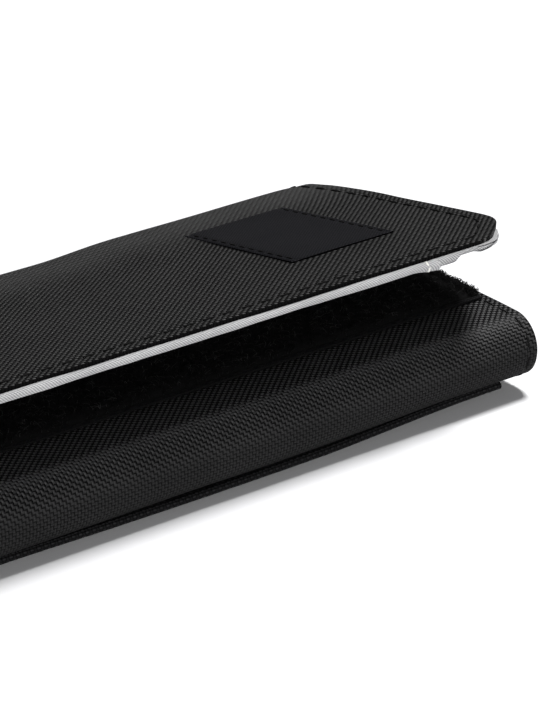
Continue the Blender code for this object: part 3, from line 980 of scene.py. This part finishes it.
LIP_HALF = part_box("flap_lip")[1].x
LIP_W = 0.0018
LIP_T = 0.0016
LIP_FRONT = FLAP_DEPTH + 0.0007
LIP_TOP = REAR_R - COVER_T - AIR
LIP_CLOTH_T = 0.0003
LIP_CLOTH_RIM = 0.0001
LIP_PITCH = 0.00060
LIP_RIB = grey(0.53, 0.535)
LIP_RELIEF = 0.00015
LIP_FLARE = 0.0006
TUCK_R = 0.0005
TACK_SPOTS = (LIP_HALF - 0.0027, 0.0012 - LIP_HALF)
TACK_PINCH = 0.00016
TACK_W = 0.0006
lip_r = LIP_T / 2
lip_flat = LIP_W - lip_r
lip_turn = math.pi * lip_r
tuck = [(math.pi * TUCK_R, TUCK_R), (lip_flat * 0.7, None)]
lip_legs = [(lip_flat, None), (lip_turn, lip_r), (lip_flat, None)] + tuck
lip_run = length_of(lip_legs)


def lip_sink(x, run):
    """Pinched by the tacks, and flaring on its lower side towards the right one."""
    pinch = sum(TACK_PINCH * bell(x - spot, TACK_W) for spot in TACK_SPOTS)
    lower = ease(run, lip_flat + 0.7 * lip_turn, lip_flat + 0.3 * lip_turn)
    flare = LIP_FLARE * lower * ease(x, LIP_HALF - 0.0060, LIP_HALF - 0.0015)
    return pinch - flare + ripple(x, run, 0.007, 0.00010) + ripple(x, run, 0.03, 0.00016)


lie_lip = laid(on_flap(LIP_FRONT - LIP_W, LIP_TOP - LIP_T), FORWARD - FLAP_TILT, lip_legs, lip_sink)
lip_columns = even(-LIP_HALF, LIP_HALF, 0.0012)
flap_lip = lay_cloth("flap_lip_roll", lip_columns, even(0, lip_run, 0.00018), lie_lip)
thicken(flap_lip, LIP_CLOTH_T, LIP_CLOTH_RIM)
lip_twill = twill("lip_twill", LIP_PITCH, grey(0.16, 0.165), LIP_RIB, LIP_RELIEF)
fit(flap_lip, lip_twill, "lining_twill", "flap", "flap_lip")

white_thread = thread_finish("white_thread", (0.62, 0.61, 0.58), (0.85, 0.84, 0.80))
tack_runs = even(lip_flat * 0.2, lip_flat * 2 + lip_turn - AIR, 0.0005)
tack_x = [spot + aside for spot in TACK_SPOTS for aside in (0.0001, -0.0001)]
tack_lines = [[(x, run) for run in tack_runs] for x in tack_x]
bar_tacks = sew("flap_lip_bar_tacks", lie_lip, tack_lines, 0.0009, 0.00026, share=1.35)
fit(bar_tacks, white_thread, "lining_twill", "flap")

ROLL_START = LIP_HALF + 0.0001
ROLL_LENGTH = 0.0222
CURL_START = 0.0086
ROLL_GIRTH = 0.0008


def roll_shape(way):
    """Half height, half width and reach past the outline: a fold, a pinch and a curl."""
    fold = ease(way, 0.0062, 0.0040)
    tail = ease(way, ROLL_LENGTH, ROLL_LENGTH - 0.0024)
    curl = ease(way, CURL_START, CURL_START + 0.0024) * tail
    tall = (0.00045 + 0.00048 * fold + 0.00024 * curl) * (0.35 + 0.65 * tail)
    return tall, 0.00045 + 0.00028 * fold + 0.00032 * curl, 0.0001 * curl - 0.0002


def crease_depth(way, turn):
    """Two creases that meet along the curl, and the line where its under edge is tucked in. Their depth
    grooves the roll and is also painted as shade into its colour.
    """
    apart = 0.6 * ease(way, CURL_START + 0.0085, CURL_START + 0.001)
    depth = bell(turn - 0.15 - apart, 0.16) + bell(turn - 0.15 + apart, 0.16)
    depth *= ease(way, CURL_START + 0.0006, CURL_START + 0.0018)
    depth += bell(turn + 1.0, 0.28) * ease(way, 0, 0.003)
    return min(1.0, depth) * ease(way, ROLL_LENGTH, ROLL_LENGTH - 0.004)


def lie_roll(side):
    def lie(way, turn):
        tall, wide, reach = roll_shape(way)
        out = reach + wide * math.cos(turn) * (1 - 0.55 * crease_depth(way, turn))
        x, back = along_outline(ROLL_START + way, -out - ripple(way, turn * 0.001, 0.003, 0.00010))
        y, z = on_flap(back, LIP_TOP - tall + tall * math.sin(turn))
        return Vector((side * x, y, z))

    return lie


# Painted shade: the curl's grooves are darker than the lip's, so its painted crease shade goes darker.
shaded_curl_twill = twill("shaded_curl_twill", LIP_PITCH, grey(0.06, 0.065), LIP_RIB, LIP_RELIEF, crease_shaded=True)
roll_ways = even(0, ROLL_LENGTH, 0.0003)
roll_turns = even(-math.pi, math.pi, math.pi / 40)
for side, hand in ((1, "right"), (-1, "left")):
    corner_roll = lay_cloth(f"flap_corner_roll_{hand}", roll_ways, roll_turns, lie_roll(side))
    with editing():
        bpy.ops.mesh.remove_doubles(threshold=0.000001)
        bpy.ops.mesh.select_all(action="DESELECT")
        bpy.ops.mesh.select_mode(type="EDGE")
        bpy.ops.mesh.select_non_manifold()
        bpy.ops.mesh.edge_face_add()
        bpy.ops.mesh.select_all(action="SELECT")
        bpy.ops.mesh.normals_make_consistent(inside=False)
    # Painted shade: each corner keeps its crease depth, which the twill paints as shade.
    shade = corner_roll.data.attributes.new("crease_shade", "FLOAT", "CORNER")
    for spot, dark in zip(corner_roll.data.uv_layers["cut"].uv, shade.data):
        way, turn = spot.vector
        dark.value = crease_depth(way, turn)
        spot.vector = (way, turn * ROLL_GIRTH)
    smooth(corner_roll)
    fit(corner_roll, shaded_curl_twill, "lining_twill", "flap", f"flap_corner_fold_{hand}")


# Label
# A small plain woven label on the flap, finer than the cover and slightly blue. It is sewn down
# along its two long sides.

LABEL_T = 0.0004
LABEL_DEEP = 0.036
LABEL_FROM_EDGE = 0.0199
LABEL_SEAM = 0.0013
LABEL_GAP = 0.0015
LABEL_THREAD = 0.00055
label_low, label_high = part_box("label")


def label_sink(x, run):
    side = min(x - label_low.x, label_high.x - x)
    end = min(run, LABEL_DEEP - run)
    rim = max(0.0, 1 - min(side, end) / 0.0006)
    seam = bell(side - LABEL_SEAM, 0.0004)
    return 0.00015 * rim * rim + 0.00016 * seam + ripple(x, run, 0.009, 0.00008)


label_start = on_flap(FLAP_DEPTH - LABEL_FROM_EDGE, REAR_R + AIR + LABEL_T)
lie_label = laid(label_start, -FLAP_TILT, [(LABEL_DEEP, None)], label_sink)
label_columns = spread(label_low.x, label_high.x, LABEL_GAP)
label = lay_cloth("label_patch", label_columns, spread(0, LABEL_DEEP, LABEL_GAP), lie_label)
thicken(label, LABEL_T, THIN_RIM)
LABEL_YARN = grey(0.021, 0.0245)
label_weave = plain_weave("label_weave", 0.00042, grey(0.003, 0.0035), LABEL_YARN, 0.00008, steady(0.5, 1.5))
fit(label, label_weave, "label_weave", "flap", "label")
label_sides = (label_low.x + LABEL_SEAM, label_high.x - LABEL_SEAM)
label_seams = [[(x, 0.0012), (x, LABEL_DEEP - 0.0012)] for x in label_sides]
label_stitches = sew("label_stitches", lie_label, label_seams, 0.0029, LABEL_THREAD, share=0.62)
fit(label_stitches, black_thread, "label_weave", "flap")


# Inside of the flap
# A strip of nylon hooks that grips the loop pile when the flap is shut, and a slip pocket of
# lining cloth behind it.

STRIP_DEEP = 0.020
HOOK_BACK = REAR.y - loop_high.y
HOOK_TAPE_T = 0.0006
HOOK_SEAM = 0.0007
HOOK_W = 0.0002
INSIDE_OUT = 0.0068
hook_half = loop_high.x


def flap_inside(back, deep, out, sink):
    """A cloth on the inside of the flap, laid face down from its rear side forwards."""
    return laid(on_flap(back, out), FORWARD - FLAP_TILT, [(deep, None)], sink)


lie_hook = flap_inside(HOOK_BACK, STRIP_DEEP, INSIDE_OUT - HOOK_TAPE_T, flat_sink)
hook_columns = even(-hook_half, hook_half, COARSE)
hook_tape = lay_cloth("hook_tape", hook_columns, even(0, STRIP_DEEP, FINE), lie_hook)
thicken(hook_tape, HOOK_TAPE_T, THIN_RIM)
fit(hook_tape, tape_weave, "hook_nylon", "flap", "hook_strip")


def stiff_nylon(name):
    """Stiff black nylon, as in hooks and zip coils."""
    return grained(name, 0.4, (900,), grey(0.008), grey(0.02, 0.021))


hook_steps = [(0, 0, 0.0007), (0.00012, 0, 0.0003), (0.00022, 0, 0.00006), (0.00014, 0, -0.00022)]
flap_down = Matrix.Rotation(FORWARD - FLAP_TILT, 4, "X")
hook_places = []
for column in even(-hook_half + 0.0012, hook_half - 0.0012, 0.00115):
    for row, run in enumerate(even(0.0016, STRIP_DEEP - 0.0016, 0.0013)):
        face = Matrix.Rotation(FORWARD * (row % 2), 4, "Z")
        sway = Matrix.Rotation(chance.gauss(0, 0.08), 4, "X")
        hook_places.append(Matrix.Translation(lie_hook(column, run)) @ flap_down @ face @ sway)
hooks = repeat("hook_bristles", bent_stem(HOOK_W, hook_steps), hook_places)
fit(hooks, stiff_nylon("hook_nylon"), "hook_nylon", "flap")
hook_seams = seams_along(-hook_half, hook_half, HOOK_SEAM, STRIP_DEEP - HOOK_SEAM)
fit(sew("hook_tape_stitches", lie_hook, hook_seams), black_thread, "hook_nylon", "flap")

slip_low, slip_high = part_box("flap_slip_pocket")
SLIP_DEEP = 0.022
SLIP_BACK = 0.003
SLIP_REACH = 0.012
SLIP_LIFT = 0.0004


def slip_gape(x, run):
    """The mouth of the slip pocket bows up a little in its middle."""
    lift = max(0.0, 1 - (SLIP_DEEP - run) / SLIP_REACH) * math.cos(math.pi / 2 * x / slip_high.x)
    return flat_sink(x, run) - SLIP_LIFT * lift * lift


lie_slip = flap_inside(SLIP_BACK, SLIP_DEEP, INSIDE_OUT - THIN_T, slip_gape)
slip_columns = spread(slip_low.x, slip_high.x, COARSE)
slip_pocket = lay_cloth("flap_slip_pocket_cloth", slip_columns, spread(0, SLIP_DEEP, FINE), lie_slip)
thicken(slip_pocket, THIN_T, THIN_RIM)
fit(slip_pocket, lining_twill, "lining_twill", "flap", "flap_slip_pocket")
slip_x = slip_high.x - 0.0012
slip_top = SLIP_DEEP - 0.0005
slip_hem = SLIP_DEEP - 0.0024
slip_line = [(-slip_x, slip_top), (-slip_x, SEAM_END), (slip_x, SEAM_END), (slip_x, slip_top)]
slip_mouth = [(-slip_x, slip_hem), (slip_x, slip_hem)]
slip_stitches = sew("flap_slip_pocket_stitches", lie_slip, [slip_line, slip_mouth])
fit(slip_stitches, grey_thread, "lining_twill", "flap")


# Coin pocket
# A flat pocket of cover cloth under the back. Its front edge is folded over and hemmed, its ends
# are sewn up to the back panel, and a narrow facing closes it behind the zip.

pocket_low, pocket_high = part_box("coin_pocket_panel")
POCKET_T = 0.00072
POCKET_RIM = 0.00022
HEM_BACK = 0.003
HEM_BOW = 0.0012
HEM_LIFT = 0.0008
POCKET_SEAM = 0.0022
POCKET_CLEAR = 0.0003
END_RISE = 0.0015
END_RISE_W = 0.004
pocket_half = pocket_high.x - 0.0018
pocket_turn = pocket_low.y + COVER_T - 0.0007
pocket_bottom = pocket_high.y - pocket_turn
pocket_fold = math.pi * COVER_T
pocket_legs = [(pocket_bottom, None), (pocket_fold, COVER_T), (HEM_BACK, None)]
pocket_run = length_of(pocket_legs)


def pocket_sink(x, run):
    return ripple(x, run, 0.02, 0.00008)


lie_pocket_flat = laid((pocket_high.y, pocket_low.z + POCKET_CLEAR), FORWARD, pocket_legs, pocket_sink)


def lie_pocket(x, run):
    """The ends rise to the back panel behind the hem, which bows forward and lifts at the right."""
    behind = ease(run, pocket_bottom - 0.004, pocket_bottom - 0.012)
    rise = END_RISE * ease(abs(x), pocket_half - END_RISE_W, pocket_half) * behind
    lift = HEM_LIFT * ease(x, 0.022, 0.062) * (1 - behind)
    bow = HEM_BOW * math.cos(math.pi / 2 * (x - 0.003) / (pocket_half + 0.005)) ** 2 * (1 - behind)
    return lie_pocket_flat(x, run) + Vector((0, -bow, rise + lift))


pocket_rows = even(0, pocket_bottom, MEDIUM) + even(pocket_bottom, pocket_bottom + pocket_fold, 0.00025)[1:]
pocket_rows += even(pocket_bottom + pocket_fold, pocket_run, 0.0006)[1:]
pocket_columns = spread(-pocket_half, pocket_half, MEDIUM)
pocket = lay_cloth("coin_pocket_cloth", pocket_columns, pocket_rows, lie_pocket)
thicken(pocket, POCKET_T, POCKET_RIM)
# Painted shade: the pocket and its facing use the cover weave painted darker than the rest of the cover, as
# the shade under the overhanging front fold.
shaded_pocket_weave = plain_weave("shaded_pocket_weave", WEAVE_PITCH, VALLEY_SHADE, grey(0.026, 0.027), 0.0003, steady(0.3))
fit(pocket, shaded_pocket_weave, "cover_fabric", "back_panel", "coin_pocket_panel")

facing_low, facing_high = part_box("coin_pocket_facing")
FACING_TURN = 0.001
FACING_RIM = 0.0002
facing_legs = [
    (facing_high.z - FACING_TURN - POCKET_CLEAR, None),
    (math.pi / 2 * FACING_TURN, FACING_TURN),
    (facing_high.y - facing_low.y - FACING_TURN, None),
]
facing_run = length_of(facing_legs)
lie_facing = laid((facing_high.y, facing_high.z), -math.pi / 2, facing_legs, flat_sink)
facing_columns = spread(facing_low.x, facing_high.x, MEDIUM)
facing_rows = even(0, facing_run, 0.0003)
facing = lay_cloth("coin_pocket_facing_cloth", facing_columns, facing_rows, lie_facing)
thicken(facing, POCKET_T, FACING_RIM)
fit(facing, shaded_pocket_weave, "cover_fabric", "back_panel", "coin_pocket_facing")

ZIP_SEAM = 0.0016
pocket_end = pocket_half - 0.0015


def across_pocket(run):
    return [(-pocket_end, run), (pocket_end, run)]


pocket_lines = [across_pocket(ZIP_SEAM), across_pocket(pocket_bottom - POCKET_SEAM)]
pocket_lines += [[(x, 0.002), (x, pocket_bottom - 0.004)] for x in (pocket_end, -pocket_end)]
facing_lines = [across_pocket(facing_run - ZIP_SEAM)]
pocket_seams = (("coin_pocket", lie_pocket, pocket_lines), ("coin_pocket_facing", lie_facing, facing_lines))
for name, lie, lines in pocket_seams:
    stitches = sew(f"{name}_stitches", lie, lines, STITCH_PITCH, COVER_THREAD)
    fit(stitches, black_thread, "cover_fabric", "back_panel")


# Zip
# A small coil zip between pocket and facing: two woven tapes, a wound nylon coil on each, metal
# stops at both ends, and an enamelled slider with a flat pull tab.

ZIP_TAPE_T = 0.0004
TAPE_PITCH = 0.0004


def herringbone(name):
    """Zip tape woven in narrow slanting bands that change direction."""
    material, inputs, feed = new_finish(name, 0.75, Specular_IOR_Level=0.2)
    across, along = cut_map(feed, TAPE_PITCH, TAPE_PITCH)
    slant = along + feed.math("PINGPONG", across * 0.5, 2.0)
    height = abs(feed.math("SINE", slant * math.pi))
    paint(feed, inputs, height, grey(0.005, 0.0055), grey(0.026, 0.028))
    emboss(feed, inputs, height, 0.00008)
    return material


def enamel(name):
    """Black enamel on die-cast metal, rubbed through a little."""
    material, inputs, feed = new_finish(name, 0.3, Metallic=0.8, Coat_Weight=0.4, Coat_Roughness=0.2)
    rubbed = mottle(feed, 700, 5.0)
    paint(feed, inputs, rubbed, grey(0.02, 0.022), grey(0.09, 0.095))
    (0.22 + 0.2 * rubbed).into(inputs["Roughness"])
    emboss(feed, inputs, rubbed, 0.00002)
    return material


zip_weave = herringbone("zip_weave")
zip_enamel = enamel("zip_enamel")
coil_nylon = stiff_nylon("coil_nylon")
for side in ("front", "rear"):
    tape = lay_flat(f"zip_tape_{side}_band", f"zip_tape_{side}", False, ZIP_TAPE_T, gap=FINE)
    fit(tape, zip_weave, "zip_tape", "back_panel")

WIRE_R = 0.00016
WIRE_SIDES = 6
COIL_PITCH = 0.001
COIL_STEPS = 10
for side in ("front", "rear"):
    low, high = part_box(f"zip_coil_{side}")
    middle = (low + high) / 2
    turns = int((high.x - low.x - 2 * WIRE_R) / COIL_PITCH)
    edge_on = {"location": (0, 0, (high.y - low.y) / 2 - WIRE_R), "rotation": (math.pi / 2, 0, 0)}
    wire = {"vertices": WIRE_SIDES, "radius": WIRE_R, **edge_on}
    coil = added(bpy.ops.mesh.primitive_circle_add, f"zip_coil_{side}_wire", **wire)
    winding = {"screw_offset": COIL_PITCH, "iterations": turns, "use_smooth_shade": True}
    finish_with(coil, "SCREW", axis="X", steps=COIL_STEPS, render_steps=COIL_STEPS, **winding)
    coil.location = (middle.x - turns * COIL_PITCH / 2, middle.y, middle.z)
    coil.scale = (1, 1, (high.z - low.z) / (high.y - low.y))
    bpy.ops.object.transform_apply(location=True, rotation=True, scale=True)
    with editing():
        bpy.ops.mesh.fill_holes(sides=WIRE_SIDES)
        bpy.ops.mesh.normals_make_consistent(inside=False)
    fit(coil, coil_nylon, "zip_nylon", "back_panel", f"zip_coil_{side}")


def bar(name, low, high):
    return added(bpy.ops.mesh.primitive_cube_add, name, high - low, size=1, location=(low + high) / 2)


def block(name, low, high, rounding):
    """A cast block of a given box, with its edges rounded."""
    made = bar(name, low, high)
    finish_with(made, "BEVEL", width=rounding, segments=3)
    return made


for end in ("open", "closed"):
    low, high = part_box(f"zip_stop_{end}_end")
    stop = block(f"zip_stop_{end}_clamp", low, high, 0.0003)
    with editing():
        bpy.ops.mesh.bisect(plane_co=(low + high) / 2, plane_no=(0, 1, 0))
        bpy.ops.transform.resize(value=(1, 1, 0.7), center_override=(low + high) / 2)
    smooth(stop)
    fit(stop, zip_enamel, "zip_metal", "back_panel", f"zip_stop_{end}_end")

PLATE_T = 0.00025
PLATE_CORNER = 0.0011
PLATE_TAPER = 0.78
slider_low, slider_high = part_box("zip_slider")
slider_mid = (slider_low + slider_high) / 2


def taper(piece, middle, end, share):
    """Narrow the half of a piece that lies towards one end along X."""
    for vertex in piece.data.vertices:
        if (vertex.co.x - middle.x) * end > 0:
            vertex.co.y = middle.y + (vertex.co.y - middle.y) * share


def slider_plate(name, low_z):
    """One plate of the slider: a flat oblong with rounded corners, narrower at its tail."""
    low = Vector((slider_low.x, slider_low.y, low_z))
    high = Vector((slider_high.x, slider_high.y, low_z + PLATE_T))
    plate = bar(name, low, high)
    taper(plate, slider_mid, -1, PLATE_TAPER)
    with editing("DESELECT"):
        bpy.ops.mesh.select_mode(type="EDGE")
    for edge in plate.data.edges:
        a, b = (plate.data.vertices[v].co for v in edge.vertices)
        edge.select = abs((b - a).normalized().z) > math.sin(math.radians(80))
    bpy.ops.object.mode_set(mode="EDIT")
    bpy.ops.mesh.bevel(offset=PLATE_CORNER, segments=5, affect="EDGES")
    bpy.ops.object.mode_set(mode="OBJECT")
    soften(plate, 0.00007, segments=2, angle=60)
    return plate


slider = slider_plate("zip_slider_body", slider_low.z)
top_plate = slider_plate("zip_slider_top", slider_high.z - PLATE_T)
wedge_low = Vector((slider_high.x - 0.0022, slider_mid.y - 0.0003, slider_low.z + PLATE_T * 0.5))
wedge_high = Vector((slider_high.x - 0.0001, slider_mid.y + 0.0003, slider_high.z - PLATE_T * 0.5))
wedge = block("zip_slider_wedge", wedge_low, wedge_high, 0.0001)
pick(slider)
for part in (top_plate, wedge):
    part.select_set(True)
bpy.ops.object.join()
smooth(slider)
fit(slider, zip_enamel, "zip_metal", "slider", "zip_slider")

PULL_TAPER = 0.7
PULL_CORNER = 0.0010
PULL_RAIL = 0.0007
PULL_RIM = 0.0001
pull_low, pull_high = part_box("zip_pull")
pull = flat_plate("zip_pull_tab", pull_low, pull_high, pull_high.z)
taper(pull, (pull_low + pull_high) / 2, 1, PULL_TAPER)
with editing():
    bpy.ops.mesh.bevel(offset=PULL_CORNER, segments=6, affect="VERTICES")
    bpy.ops.mesh.select_all(action="SELECT")
    bpy.ops.mesh.inset(thickness=PULL_RAIL)
    bpy.ops.mesh.delete(type="FACE")
finish_with(pull, "SOLIDIFY", thickness=pull_high.z - pull_low.z, offset=-1)
soften(pull, PULL_RIM, segments=2, angle=50)
smooth(pull)
fit(pull, zip_enamel, "zip_metal", "pull", "zip_pull")


# Studio
# A plain white table, lit by a soft lamp high at the right and a weaker one low in front, with a
# little pale light all round. The camera is where the photograph was taken from.

scene = bpy.context.scene
scene.view_settings.view_transform = "Standard"
FLOOR_SIZE = 6.0
FLOOR_GLOW = 0.04
under_wallet = (0, 0, -0.00002)
floor = added(bpy.ops.mesh.primitive_plane_add, "table_top", size=FLOOR_SIZE, location=under_wallet)
TABLE_COLOUR = (0.86, 0.86, 0.87, 1)
table_white, inputs, feed = new_finish("table_white", 0.9, Base_Color=TABLE_COLOUR, Specular_IOR_Level=0.0)
seen = feed.node("ShaderNodeLightPath", {}, {})
glow = feed.node("ShaderNodeEmission", {}, {"Strength": FLOOR_GLOW * seen})
table_nodes = table_white.node_tree.nodes
surface = Feed(table_white.node_tree, table_nodes["Principled BSDF"].outputs[0])
lit_table = feed.node("ShaderNodeAddShader", {}, {0: surface, 1: glow})
lit_table.into(table_nodes["Material Output"].inputs["Surface"])
floor.data.materials.append(table_white)

FILL = 0.10
world = bpy.data.worlds.new("studio_air")
scene.world = world
world.use_nodes = True
air = world.node_tree.nodes["Background"]
air.inputs["Color"].default_value = (0.96, 0.97, 1.0, 1)
air_feed = Feed(world.node_tree)
path = air_feed.node("ShaderNodeLightPath", {}, {})
(FILL + (1 - FILL) * air_feed.math("MAXIMUM", path, path.also(6))).into(air.inputs["Strength"])


def soft_lamp(name, place, aim, size, power):
    bpy.ops.object.select_all(action="DESELECT")
    bpy.ops.object.light_add(type="AREA", location=place)
    lamp = bpy.context.object
    lamp.name = name
    lamp.data.shape = "DISK"
    lamp.data.size = size
    lamp.data.energy = power
    lamp.rotation_euler = (Vector(aim) - Vector(place)).to_track_quat("-Z", "Y").to_euler()


soft_lamp("key_lamp", (0.42, 0.03, 0.95), (0, 0, 0.01), 0.26, 13.0)
soft_lamp("front_lamp", (-0.3, -1.3, 0.20), (0, 0, 0.01), 0.36, 10.5)

bpy.ops.object.camera_add(
    location=(-0.3539, -0.5149, 0.3053), rotation=(math.radians(65.034), 0, math.radians(-37.332))
)
camera = bpy.context.object
camera.data.lens = 180
camera.data.sensor_width = 36
camera.data.clip_start = 0.01
camera.data.dof.use_dof = False
scene.camera = camera
